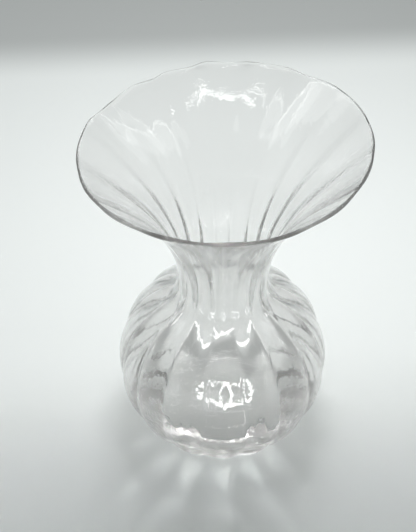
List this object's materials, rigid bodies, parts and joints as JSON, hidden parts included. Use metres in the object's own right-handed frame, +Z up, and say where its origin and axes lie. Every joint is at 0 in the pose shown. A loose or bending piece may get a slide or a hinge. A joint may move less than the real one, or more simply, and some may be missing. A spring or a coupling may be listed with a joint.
{
  "type": "trumpet-mouthed vase",
  "caption": "Clear blown glass vase with a ribbed round bulb, a narrow neck and a wide trumpet mouth, for cut flowers.",
  "frame": {"origin": "centre of the foot, on the surface that the vase stands on", "axes": "+Z up along the vase's axis, -Y towards the picture's viewer, with the rim's high side towards +X"},
  "size_m": [0.1518, 0.152, 0.2118],
  "materials": {
    "glass": "clear blown glass, fire-polished, with a faint grey-green tint"
  },
  "bodies": {
    "root": {"base": "glass", "lower_bulb": "glass", "upper_bulb": "glass", "neck": "glass", "flared_mouth": "glass", "rim": "glass"}
  },
  "joints": []
}
